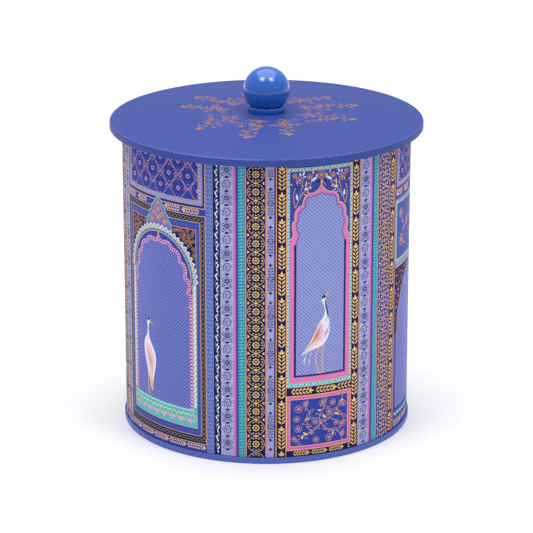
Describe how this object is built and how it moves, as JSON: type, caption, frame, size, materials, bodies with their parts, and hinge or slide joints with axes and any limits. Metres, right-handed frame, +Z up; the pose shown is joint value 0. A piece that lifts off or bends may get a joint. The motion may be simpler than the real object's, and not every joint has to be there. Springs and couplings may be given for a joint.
{
  "type": "cookie tin",
  "caption": "Round printed tinplate storage tin with a flat overhanging plug lid, lifted off by a ball knob.",
  "frame": {"origin": "middle of the ring that the tin stands on, on the surface it stands on", "axes": "+Z up along the tin's own axis; the wall's weld is at the back, towards +Y"},
  "size_m": [0.165, 0.165, 0.1922],
  "materials": {
    "printed_wall": "satin print and lacquer",
    "base_lacquer": "satin lacquer",
    "lid_lacquer": "satin lacquer",
    "plug_tinplate": "bright tinplate",
    "seal": "translucent silicone",
    "knob_gloss": "high gloss",
    "insert_brass": "turned",
    "screw_steel": "zinc plated"
  },
  "bodies": {
    "tin": {"body_wall": "printed_wall", "base_panel": "base_lacquer"},
    "seal": {"seal_ring": "seal"},
    "lid": {"lid_panel": "lid_lacquer", "lid_plug": "plug_tinplate", "knob": "knob_gloss", "knob_insert": "insert_brass", "knob_screw": "screw_steel", "knob_washer": "screw_steel"}
  },
  "joints": [
    {"name": "lid_lift", "type": "slide", "parent": "tin", "child": "seal", "axis": [0, 0, 1], "range_m": [0, 0.16]},
    {"name": "lid_turn", "type": "hinge", "parent": "seal", "child": "lid", "pos_m": [0, 0, 0.165], "axis": [0, 0, 1], "continuous": true}
  ]
}
